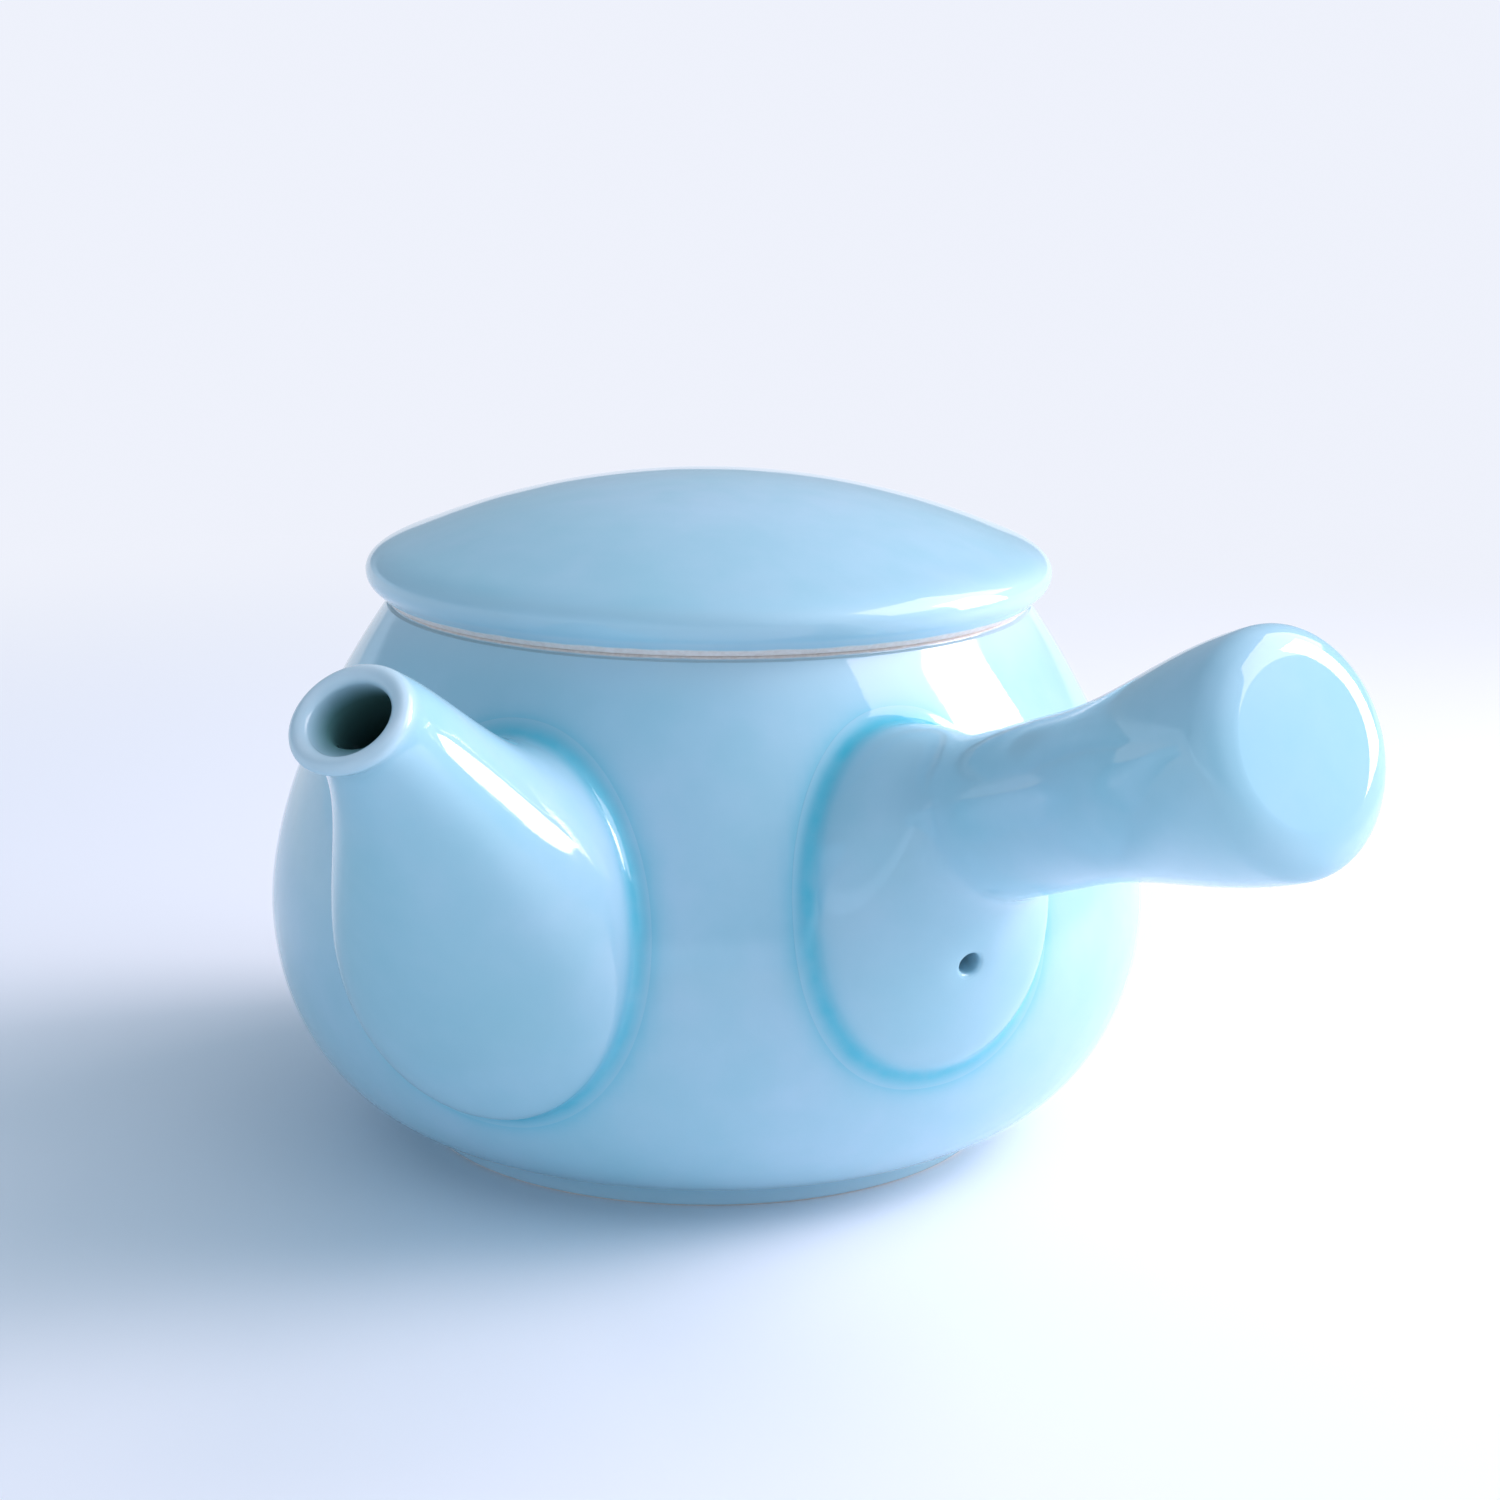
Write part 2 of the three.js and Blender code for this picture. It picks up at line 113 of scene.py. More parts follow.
def throwOnWheel(name, profile, turnSteps):
    # one vertex, drawn out along the profile and spun round the pot's axis
    deselectAll()
    bpy.ops.mesh.primitive_plane_add(size=0.01, location=(0, 0, 0))
    piece = bpy.context.object
    piece.name = piece.data.name = name
    bpy.ops.object.mode_set(mode='EDIT')
    bpy.ops.mesh.select_all(action='SELECT')
    bpy.ops.mesh.merge(type='CENTER')
    bpy.ops.transform.translate(value=(profile[0][0], 0, profile[0][1]))
    for here, there in zip(profile, profile[1:]):
        step = (there[0] - here[0], 0, there[1] - here[1])
        if math.hypot(step[0], step[2]) > shortestStep:
            bpy.ops.mesh.extrude_region_move(TRANSFORM_OT_translate={"value": step})
    bpy.ops.mesh.select_all(action='SELECT')
    bpy.ops.mesh.spin(steps=turnSteps, angle=2 * math.pi, center=(0, 0, 0), axis=(0, 0, 1))
    bpy.ops.mesh.select_all(action='SELECT')
    closeUp()
    return piece


def skinOverRings(name, rings):
    # a flat grid, one row for each ring, wrapped round and closed along its seam
    around = len(rings[0])
    deselectAll()
    bpy.ops.mesh.primitive_grid_add(x_subdivisions=around, y_subdivisions=len(rings) - 1, size=1)
    piece = bpy.context.object
    piece.name = piece.data.name = name
    for vertex in piece.data.vertices:
        step = round((vertex.co.x + 0.5) * around) % around
        row = round((vertex.co.y + 0.5) * (len(rings) - 1))
        vertex.co = rings[row][step]
    startEditing(piece)
    closeUp()
    return piece


def turnMesh(piece, degrees):
    # with no window the operator turns the other way
    startEditing(piece)
    bpy.ops.transform.rotate(value=-math.radians(degrees), orient_axis='Z', center_override=(0, 0, 0))
    bpy.ops.object.mode_set(mode='OBJECT')


def fading(distance, reach):
    return math.exp(-(distance / reach) ** 2)


def paintBy(piece, attributeName, amountAt):
    attribute = piece.data.attributes.new(attributeName, 'FLOAT', 'POINT')
    for vertex in piece.data.vertices:
        attribute.data[vertex.index].value = min(max(amountAt(vertex.co), 0), 1)


def paintNear(piece, attributeName, points, reach):
    # 1 on the points, fading to 0 over the reach
    tree = kdtree.KDTree(len(points))
    for i, point in enumerate(points):
        tree.insert(point, i)
    tree.balance()
    paintBy(piece, attributeName, lambda place: fading(tree.find(place)[2], reach))


# node tools: a value is a number, a colour or another node's output

def setSocket(links, socket, value):
    if isinstance(value, (int, float, tuple)):
        socket.default_value = value
    else:
        links.new(value, socket)


def addMix(nodes, links, amount, first, second):
    node = nodes.new("ShaderNodeMix")
    node.data_type = 'RGBA'
    for number, value in ((0, amount), (6, first), (7, second)):
        setSocket(links, node.inputs[number], value)
    return node.outputs[2]


def addMath(nodes, links, operation, *values, clamp=False):
    node = nodes.new("ShaderNodeMath")
    node.operation = operation
    node.use_clamp = clamp
    for socket, value in zip(node.inputs, values):
        setSocket(links, socket, value)
    return node.outputs["Value"]


def addRange(nodes, links, value, low, high, interpolation='SMOOTHSTEP', toLow=0, toHigh=1):
    node = nodes.new("ShaderNodeMapRange")
    node.interpolation_type = interpolation
    sockets = ("Value", "From Min", "From Max", "To Min", "To Max")
    for socket, number in zip(sockets, (value, low, high, toLow, toHigh)):
        setSocket(links, node.inputs[socket], number)
    return node.outputs["Result"]


def addDot(nodes, links, vector, way):
    node = nodes.new("ShaderNodeVectorMath")
    node.operation = 'DOT_PRODUCT'
    node.inputs[1].default_value = way
    links.new(vector, node.inputs[0])
    return node.outputs["Value"]


# glaze and clay

glaze = {
    "colour": (0.315, 0.60, 0.71, 1),
    "cloud": (0.42, 0.635, 0.785, 1),
    "mottle": (0.25, 0.555, 0.665, 1),
    "thin": (0.56, 0.71, 0.79, 1),
    "deep": (0.055, 0.49, 0.65, 1),
    # painted shade for the deep part of the spout's channel, where no light comes
    "shade": (0.11, 0.25, 0.24, 1),
    "clay": (0.80, 0.70, 0.64, 1),
    "clayGrain": (0.88, 0.80, 0.75, 1),
    "cloudScale": 28,
    "cloudAmount": 0.8,
    "mottleScale": 170,
    "mottleAmount": 0.22,
    "wobbleScale": 260,
    "grainScale": 1400,
    "roughness": 0.045,
    "clayRoughness": 0.7,
    "ior": 1.6,
    "waveScale": 70,
    "waveStrength": 0.25,
    "waveDepth": 0.0004,
    "grainDepth": 0.00008,
    "poolReach": 0.0024,
    "poolReachOnForm": 0.0016,
}


def glazedClay(name, seed):
    material = bpy.data.materials.new(name)
    material.use_nodes = True
    nodes = material.node_tree.nodes
    links = material.node_tree.links
    shader = nodes["Principled BSDF"]
    coords = nodes.new("ShaderNodeTexCoord")

    def noise(scale, detail, shift):
        mapping = nodes.new("ShaderNodeMapping")
        mapping.inputs["Location"].default_value = (seed + shift, seed * 0.7, shift)
        texture = nodes.new("ShaderNodeTexNoise")
        texture.inputs["Scale"].default_value = scale
        texture.inputs["Detail"].default_value = detail
        links.new(coords.outputs["Object"], mapping.inputs["Vector"])
        links.new(mapping.outputs["Vector"], texture.inputs["Vector"])
        return texture.outputs["Fac"]

    def mapped(value, fromLow, fromHigh, toLow, toHigh):
        return addRange(nodes, links, value, fromLow, fromHigh, 'LINEAR', toLow, toHigh)

    def times(first, second):
        return addMath(nodes, links, 'MULTIPLY', first, second, clamp=True)

    def mixed(amount, first, second):
        return addMix(nodes, links, amount, first, second)

    def painted(attributeName):
        node = nodes.new("ShaderNodeAttribute")
        node.attribute_name = attributeName
        return node.outputs["Fac"]

    # the glaze gathers in the creases, and runs thin over the edges
    cloud = mapped(noise(glaze["cloudScale"], 3, 0.3), 0.3, 0.7, 0, 1)
    mottle = mapped(noise(glaze["mottleScale"], 4, 1.7), 0.35, 0.65, 0, 1)
    wobble = noise(glaze["wobbleScale"], 3, 4.1)
    base = mixed(times(cloud, glaze["cloudAmount"]), glaze["colour"], glaze["cloud"])
    base = mixed(times(mottle, glaze["mottleAmount"]), base, glaze["mottle"])
    pool = times(painted("pool"), mapped(wobble, 0.2, 0.8, 0.75, 1.1))
    base = mixed(pool, base, glaze["deep"])
    thin = times(painted("thin"), mapped(mottle, 0, 1, 0.7, 1))
    base = mixed(thin, base, glaze["thin"])
    # painted shade deep in the spout's channel, where no light comes
    base = mixed(painted("shade"), base, glaze["shade"])

    # bare clay, where the glaze was wiped off, with a slightly wandering line
    grain = noise(glaze["grainScale"], 5, 2.9)
    clay = mixed(mapped(grain, 0.35, 0.65, 0, 1), glaze["clay"], glaze["clayGrain"])
    wander = addMath(nodes, links, 'ADD', painted("bare"), mapped(wobble, 0, 1, -0.12, 0.12))
    bare = mapped(wander, 0.42, 0.58, 0, 1)
    links.new(mixed(bare, base, clay), shader.inputs["Base Color"])

    gloss = mapped(mottle, 0, 1, glaze["roughness"] * 0.8, glaze["roughness"] * 1.3)
    rough = nodes.new("ShaderNodeMix")
    links.new(bare, rough.inputs[0])
    links.new(gloss, rough.inputs[2])
    rough.inputs[3].default_value = glaze["clayRoughness"]
    links.new(rough.outputs[0], shader.inputs["Roughness"])
    shader.inputs["IOR"].default_value = glaze["ior"]

    # a slightly uneven skin, and a fine grain that is strong only on the clay
    wave = nodes.new("ShaderNodeBump")
    wave.inputs["Strength"].default_value = glaze["waveStrength"]
    wave.inputs["Distance"].default_value = glaze["waveDepth"]
    links.new(noise(glaze["waveScale"], 2, 6.2), wave.inputs["Height"])
    fine = nodes.new("ShaderNodeBump")
    fine.inputs["Distance"].default_value = glaze["grainDepth"]
    links.new(mapped(bare, 0, 1, 0.04, 0.6), fine.inputs["Strength"])
    links.new(grain, fine.inputs["Height"])
    links.new(wave.outputs["Normal"], fine.inputs["Normal"])
    links.new(fine.outputs["Normal"], shader.inputs["Normal"])
    return material


def dress(piece, material, slotName, body, *nodeNames):
    piece.data.materials.clear()
    piece.data.materials.append(material)
    for attributeName in ("pool", "thin", "bare", "shade"):
        if attributeName not in piece.data.attributes:
            piece.data.attributes.new(attributeName, 'FLOAT', 'POINT')
    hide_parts(*nodeNames)
    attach(piece, body)


potGlaze = glazedClay("pot_glaze", 0.0)
lidGlaze = glazedClay("lid_glaze", 3.0)
strainerGlaze = glazedClay("strainer_glaze", 5.0)
print("glazes mixed")


# the pot

pot = {
    "bellyRadius": 0.055,
    "bellyHeight": 0.0293,
    "rimRadius": 0.0396,
    "rimHeight": 0.0673,
    "shoulderCurve": 1.73,
    "bellyCurve": 0.885,
    "footRadius": 0.0364,
    "footRingWidth": 0.0044,
    "footEdge": 0.0005,
    "recessDepth": 0.001,
    "recessSlope": 0.0008,
    "baseRadius": 0.0312,
    "baseHeight": 0.0019,
    "wall": 0.003,
    "floor": 0.0036,
    "mouthRadius": 0.0356,
    "rimEdge": 0.0007,
    "bareFoot": 0.0004,
    "bareRim": 0.0009,
    "thinAmount": 0.5,
    "thinRim": 0.0035,
    "thinFoot": 0.0025,
    "wallRows": 44,
    "turnSteps": 240,
}


def outerWall():
    return {"widest": pot["bellyRadius"], "bottomRadius": pot["baseRadius"],
            "bottomHeight": pot["baseHeight"], "topRadius": pot["rimRadius"]}


def innerWall():
    return {"widest": pot["bellyRadius"] - pot["wall"], "bottomRadius": pot["baseRadius"] - pot["wall"],
            "bottomHeight": pot["recessDepth"] + pot["floor"], "topRadius": pot["mouthRadius"]}


def wallRadius(wall, height):
    if height >= pot["bellyHeight"]:
        rise = (height - pot["bellyHeight"]) / (pot["rimHeight"] - pot["bellyHeight"])
        return wall["widest"] - (wall["widest"] - wall["topRadius"]) * rise ** pot["shoulderCurve"]
    drop = min((pot["bellyHeight"] - height) / (pot["bellyHeight"] - wall["bottomHeight"]), 1)
    spread = math.sqrt(1 - drop * drop) ** pot["bellyCurve"]
    return wall["bottomRadius"] + (wall["widest"] - wall["bottomRadius"]) * spread


def heightUnderBelly(wall, radius):
    share = (radius - wall["bottomRadius"]) / (wall["widest"] - wall["bottomRadius"])
    spread = share ** (1 / pot["bellyCurve"])
    return pot["bellyHeight"] - (pot["bellyHeight"] - wall["bottomHeight"]) * math.sqrt(1 - spread * spread)


def wallPoints(wall, fromHeight, toHeight, rows):
    points = []
    depth = pot["bellyHeight"] - wall["bottomHeight"]
    startTurn = math.acos(min((pot["bellyHeight"] - fromHeight) / depth, 1))
    for i in range(rows):
        turn = startTurn + (math.pi / 2 - startTurn) * i / rows
        height = pot["bellyHeight"] - depth * math.cos(turn)
        points.append((wallRadius(wall, height), height))
    for i in range(rows + 1):
        height = pot["bellyHeight"] + (toHeight - pot["bellyHeight"]) * i / rows
        points.append((wallRadius(wall, height), height))
    return points


def pointOnWall(turn, height):
    radius = wallRadius(outerWall(), height)
    return Vector((radius * math.cos(turn), radius * math.sin(turn), height))


def potProfile():
    footInner = pot["footRadius"] - pot["footRingWidth"]
    recess = pot["recessDepth"]
    edge = pot["footEdge"]
    rimEdge = pot["rimEdge"]
    rim = pot["rimHeight"]
    inside = innerWall()
    footTop = heightUnderBelly(outerWall(), pot["footRadius"])
    return [
        *linePoints((0, recess), (footInner - pot["recessSlope"], recess), 14),
        *linePoints((footInner - pot["recessSlope"], recess), (footInner, 0), 3),
        *linePoints((footInner, 0), (pot["footRadius"] - edge, 0), 4),
        *arcPoints((pot["footRadius"] - edge, edge), edge, -90, 0, 4),
        *linePoints((pot["footRadius"], edge), (pot["footRadius"], footTop), 3),
        *wallPoints(outerWall(), footTop, rim - rimEdge, pot["wallRows"]),
        *arcPoints((pot["rimRadius"] - rimEdge, rim - rimEdge), rimEdge, 15, 90, 4),
        *arcPoints((pot["mouthRadius"] + rimEdge, rim - rimEdge), rimEdge, 90, 165, 4),
        *wallPoints(inside, inside["bottomHeight"], rim - rimEdge, pot["wallRows"] - 12)[::-1],
        *linePoints((inside["bottomRadius"], inside["bottomHeight"]), (0, inside["bottomHeight"]), 14),
    ]


def potBare(place):
    radius = math.hypot(place.x, place.y)
    # the foot ring and the rim are wiped clean
    foot = (pot["bareFoot"] - place.z) / pot["bareFoot"] if radius > pot["footRadius"] - 0.008 else 0
    rim = (place.z - pot["rimHeight"] + pot["bareRim"]) / 0.001 if radius < pot["rimRadius"] + 0.002 else 0
    return max(foot, rim)


def potThin(place):
    nearRim = fading(pot["rimHeight"] - place.z, pot["thinRim"])
    nearFoot = fading(place.z, pot["thinFoot"])
    return (nearRim + nearFoot) * pot["thinAmount"]


potPiece = throwOnWheel("pot_glazed", potProfile(), pot["turnSteps"])
print("pot thrown:", len(potPiece.data.polygons), "faces")


# forms luted to the pot: cubic lines from an oval on its wall to a circle in the air

luting = {
    "skirtBuried": 0.0007,
    "skirtLift": 0.00003,
    "skirtSteps": 9,
    "normalStep": 0.001,
    "creasePoints": 360,
}


def axesAt(tilt):
    turn = math.radians(tilt)
    out = Vector((math.cos(turn), 0, math.sin(turn)))
    side = Vector((0, 1, 0))
    return out, side, out.cross(side)


def spoke(axes, turn):
    return axes[1] * math.cos(turn) + axes[2] * math.sin(turn)


def ovalPower(value, squareness):
    return math.copysign(abs(value) ** (2 / squareness), value)


def basePoint(form, turn, widen=0.0, lift=0.0):
    across = ovalPower(math.cos(turn), form["baseSquareness"])
    upward = ovalPower(math.sin(turn), form["baseSquareness"])
    height = form["baseCentreHeight"] + (form["baseHalfHeight"] + widen) * upward
    halfAngle = math.radians(form["baseHalfAngle"]) + widen / wallRadius(outerWall(), height)
    point = pointOnWall(math.radians(form["baseAngle"]) + halfAngle * across, height)
    return point + Vector((point.x, point.y, 0)).normalized() * lift


def lutedPoint(form, along, turn):
    start = basePoint(form, turn)
    end = form["endCentre"] + spoke(axesAt(form["endTilt"]), turn) * form["endRadius"]
    leaveAxes = axesAt(form["baseLift"])
    arriveAxes = axesAt(form["endLift"])
    leave = (leaveAxes[0] + spoke(leaveAxes, turn) * form["baseSpread"]) * form["baseReach"]
    arrive = (arriveAxes[0] + spoke(arriveAxes, turn) * form["endSpread"]) * form["endReach"]
    t = along
    return (start * (2 * t ** 3 - 3 * t ** 2 + 1) + leave * (t ** 3 - 2 * t ** 2 + t)
            + end * (3 * t ** 2 - 2 * t ** 3) + arrive * (t ** 3 - t ** 2))


def lutedNormal(form, along, turn):
    step = luting["normalStep"]
    onward = lutedPoint(form, along + step, turn) - lutedPoint(form, along - step, turn)
    sideways = lutedPoint(form, along, turn + step) - lutedPoint(form, along, turn - step)
    return sideways.cross(onward).normalized()


def turnedToSide(form, points):
    turned = Euler((0, 0, math.radians(form["side"]))).to_matrix()
    return [turned @ point for point in points]


def ringTurns(form):
    return [2 * math.pi * (step + 0.5) / form["around"] for step in range(form["around"])]


def circleRing(form, centre, axes, radius):
    return [centre + spoke(axes, turn) * radius for turn in ringTurns(form)]


def filletRings(form):
    # a skirt that leaves the pot's wall flush and turns up into the form, like smoothed slip
    rings = [[basePoint(form, turn, form["filletWidth"], -luting["skirtBuried"]) for turn in ringTurns(form)]]
    for i in range(luting["skirtSteps"] + 1):
        s = i / luting["skirtSteps"]
        ring = []
        for turn in ringTurns(form):
            foot = basePoint(form, turn, form["filletWidth"], luting["skirtLift"])
            corner = basePoint(form, turn)
            top = lutedPoint(form, form["filletEnd"], turn)
            ring.append(foot * (1 - s) ** 2 + corner * 2 * s * (1 - s) + top * s ** 2)
        rings.append(ring)
    return rings


def skinRings(form, fromAlong, toAlong, rows, inset=0.0):
    rings = []
    for row in range(rows + 1):
        along = fromAlong + (toAlong - fromAlong) * row / rows
        ring = []
        for turn in ringTurns(form):
            point = lutedPoint(form, along, turn)
            if inset:
                point = point - lutedNormal(form, along, turn) * inset
            ring.append(point)
        rings.append(ring)
    return rings


def pushedIn(ring, depth):
    # the root of a form ends within the pot's wall
    return [point - Vector((point.x, point.y, 0)).normalized() * depth for point in ring]


def softenRings(rings, first, last, rounds):
    for _ in range(rounds):
        before = [[point.copy() for point in ring] for ring in rings]
        for row in range(first, last + 1):
            for step, point in enumerate(rings[row]):
                middle = (before[row - 1][step] + before[row + 1][step]) / 2
                rings[row][step] = before[row][step] * 0.5 + middle * 0.5


def creaseLine(form):
    count = luting["creasePoints"]
    return turnedToSide(form, [basePoint(form, 2 * math.pi * i / count) for i in range(count)])


# the spout

spout = {
    "side": -63.5,
    "baseAngle": 0,
    "baseHalfAngle": 19.5,
    "baseCentreHeight": 0.0366,
    "baseHalfHeight": 0.0214,
    "baseSquareness": 2.1,
    "baseLift": -10,
    "baseReach": 0.0305,
    "baseSpread": 0.24,
    "endCentre": Vector((0.0786, 0, 0.0663)),
    "endTilt": 46,
    "endRadius": 0.00715,
    "endLift": 3,
    "endReach": 0.0326,
    "endSpread": 0.33,
    "wall": 0.0028,
    "holeRadius": 0.0046,
    "lipRound": 0.0011,
    "lipSteps": 11,
    "rootDepth": 0.0016,
    "pouringRadius": 0.013,
    "pouringHeight": 0.0335,
    "thinReach": 0.0018,
    "shadeReach": 0.0015,
    "filletWidth": 0.0019,
    "filletEnd": 0.07,
    "around": 144,
    "rows": 64,
}


def spoutRings():
    axes = axesAt(spout["endTilt"])
    rings = filletRings(spout)
    rings += skinRings(spout, spout["filletEnd"], 1, spout["rows"])[1:]
    lipStart = len(rings)
    middle = (spout["endRadius"] + spout["holeRadius"]) / 2
    half = (spout["endRadius"] - spout["holeRadius"]) / 2
    for i in range(1, spout["lipSteps"] + 1):
        turn = math.pi * i / spout["lipSteps"]
        centre = spout["endCentre"] + axes[0] * spout["lipRound"] * math.sin(turn)
        rings.append(circleRing(spout, centre, axes, middle + half * math.cos(turn)))
    softenRings(rings, lipStart - 5, lipStart + 3, 5)
    rings += skinRings(spout, 0.92, 0, 26, spout["wall"])
    rings.append(pushedIn(rings[-1], spout["rootDepth"]))
    rings.append([point.copy() for point in rings[0]])
    return rings


def lipLine():
    axes = axesAt(spout["endTilt"])
    centre = spout["endCentre"] + axes[0] * spout["lipRound"]
    radius = (spout["endRadius"] + spout["holeRadius"]) / 2
    return turnedToSide(spout, circleRing(spout, centre, axes, radius))


def channelPoints():
    # the deep part of the channel, where no light comes
    rings = skinRings(spout, 0.3, 0.91, 40, spout["wall"])
    return turnedToSide(spout, [point for ring in rings for point in ring])


spoutPiece = skinOverRings("spout_glazed", spoutRings())
turnMesh(spoutPiece, spout["side"])
smoothFaces(spoutPiece, 50)
print("spout drawn:", len(spoutPiece.data.polygons), "faces")

# the wall is pierced behind it
holePlace = turnedToSide(spout, [Vector((pot["bellyRadius"] - pot["wall"], 0, spout["pouringHeight"]))])[0]
deselectAll()
bpy.ops.mesh.primitive_cylinder_add(vertices=64, radius=spout["pouringRadius"], depth=0.03,
                                    location=holePlace,
                                    rotation=(0, math.pi / 2, math.radians(spout["side"])))
cutWith(potPiece, bpy.context.object)
smoothFaces(potPiece, 35)


# the handle

handle = {
    "side": 0,
    "baseAngle": -7.2,
    "baseHalfAngle": 16,
    "baseCentreHeight": 0.0401,
    "baseHalfHeight": 0.0194,
    "baseSquareness": 2.2,
    "baseLift": 25,
    "baseReach": 0.0223,
    "baseSpread": -0.2,
    "endTilt": 20.2,
    "endRadius": 0.0095,
    "endLift": 20.2,
    "endReach": 0.0215,
    "endSpread": 0,
    "tip": Vector((0.106, -0.00375, 0.0686)),
    "tipRadius": 0.013,
    "tipFaceRadius": 0.0088,
    "tipFaceShift": Vector((0, -0.0004, 0.0004)),
    "tipEdgeDepth": 0.0032,
    "tipRollTurn": 80,
    "tipCrown": 0.0003,
    "tipWall": 0.004,
    "waistToTip": 0.0473,
    "waistLength": 0.013,
    "wall": 0.0029,
    "filletWidth": 0.0019,
    "filletEnd": 0.08,
    "rootDepth": 0.0006,
    "ventRadius": 0.0013,
    "ventAngle": 264.4,
    "ventPlace": 0.571,
    "ventDimple": 0.0003,
    "ventDimpleReach": 0.0021,
    "ventFlare": 0.0006,
    "around": 192,
    "rows": 80,
}


def alongHandle(distance):
    return handle["tip"] - axesAt(handle["endTilt"])[0] * distance


handle["endCentre"] = alongHandle(handle["waistToTip"])


def gripRadius(distance):
    swell = handle["waistToTip"] - handle["waistLength"] - handle["tipEdgeDepth"]
    share = min(max((distance - handle["tipEdgeDepth"]) / swell, 0), 1)
    narrowed = (1 - math.cos(math.pi * share)) / 2
    return handle["tipRadius"] - (handle["tipRadius"] - handle["endRadius"]) * narrowed


def handleRings():
    axes = axesAt(handle["endTilt"])
    edge = handle["tipEdgeDepth"]
    inside = skinRings(handle, 0, 1, 18, handle["wall"])
    for i in range(1, 15):
        distance = handle["waistToTip"] + (handle["tipWall"] - handle["waistToTip"]) * i / 14
        inside.append(circleRing(handle, alongHandle(distance), axes, gripRadius(distance) - handle["wall"]))
    inside.append([alongHandle(handle["tipWall"])] * handle["around"])
    inside.insert(0, pushedIn(inside[0], handle["rootDepth"]))
    outside = filletRings(handle)
    outside += skinRings(handle, handle["filletEnd"], 1, handle["rows"])[1:]
    for i in range(1, 45):
        distance = handle["waistToTip"] + (edge - handle["waistToTip"]) * i / 44
        outside.append(circleRing(handle, alongHandle(distance), axes, gripRadius(distance)))
    edgeStart = len(outside)
    inset = handle["tipRadius"] - handle["tipFaceRadius"]
    # the roll round the end stops short of level, so that the face keeps a crisp line
    lastTurn = math.radians(handle["tipRollTurn"])
    for i in range(1, 13):
        turn = lastTurn * i / 12
        inward = (1 - math.cos(turn)) / (1 - math.cos(lastTurn))
        centre = alongHandle(edge * (1 - math.sin(turn) / math.sin(lastTurn)))
        centre += handle["tipFaceShift"] * inward
        outside.append(circleRing(handle, centre, axes, handle["tipRadius"] - inset * inward))
    softenRings(outside, edgeStart - 3, len(outside) - 2, 2)
    for share in (0.97, 0.85, 0.7, 0.5, 0.3, 0.12, 0):
        crown = handle["tipCrown"] * (1 - share ** 2)
        centre = alongHandle(-crown) + handle["tipFaceShift"]
        outside.append(circleRing(handle, centre, axes, handle["tipFaceRadius"] * share))
    return inside[::-1] + outside


def ventDrillProfile():
    # narrow below, and flared at the skin, so that the hole gets a soft edge
    radius = handle["ventRadius"]
    flare = handle["ventFlare"]
    return [
        (0, -0.006), (radius, -0.006),
        *arcPoints((radius + flare, -flare - handle["ventDimple"] / 2), flare, 180, 96, 6),
        (radius + flare * 2, 0.003), (0, 0.003),
    ]


handlePiece = skinOverRings("handle_glazed", handleRings())
ventTurn = math.radians(handle["ventAngle"])
ventPoint = lutedPoint(handle, handle["ventPlace"], ventTurn)
ventNormal = lutedNormal(handle, handle["ventPlace"], ventTurn)
# the clay is drawn in a little where the hole was pricked
for vertex in handlePiece.data.vertices:
    away = (vertex.co - ventPoint).length
    if away < 0.006:
        vertex.co -= ventNormal * handle["ventDimple"] * fading(away, handle["ventDimpleReach"])
ventDrill = throwOnWheel("vent_drill", ventDrillProfile(), 48)
ventDrill.location = ventPoint
ventDrill.rotation_euler = ventNormal.to_track_quat('Z', 'Y').to_euler()
cutWith(handlePiece, ventDrill)
smoothFaces(handlePiece, 50)
print("handle drawn:", len(handlePiece.data.polygons), "faces")


# where the glaze gathers, runs thin or was wiped off, and painted shade deep in the spout's channel
paintNear(potPiece, "pool", creaseLine(spout) + creaseLine(handle), glaze["poolReach"])
paintNear(spoutPiece, "pool", creaseLine(spout), glaze["poolReachOnForm"])
paintNear(handlePiece, "pool", creaseLine(handle), glaze["poolReachOnForm"])
paintNear(spoutPiece, "thin", lipLine(), spout["thinReach"])
paintBy(potPiece, "thin", potThin)
paintBy(potPiece, "bare", potBare)
paintNear(spoutPiece, "shade", channelPoints(), spout["shadeReach"])
dress(potPiece, potGlaze, "glazed_body", "pot", "pot_body")
dress(spoutPiece, potGlaze, "glazed_body", "pot", "spout")
dress(handlePiece, potGlaze, "glazed_body", "pot", "handle")
print("pot, spout and handle glazed")


# the lid

lid = {
    "radius": 0.0426,
    "widestHeight": 0.0052,
    "domeHeight": 0.0097,
    "wall": 0.0032,
    "edgeRadius": 0.0026,
    "edgeTurn": 48,
    "rollRadius": 0.036,
    "rollPull": 0.0036,
    "seatGap": 0.0001,
    "seatOverhang": 0.0005,
    "flangeClearance": 0.0006,
    "flangeThickness": 0.0028,
    "flangeDepth": 0.006,
    "flangeEdge": 0.0008,
    "seamHeight": 0.0013,
    "seamWidth": 0.0007,
    "seamThin": 0.8,
    "edgeThin": 0.3,
    "edgeThinReach": 0.0012,
    "domeRows": 60,
    "turnSteps": 240,
}


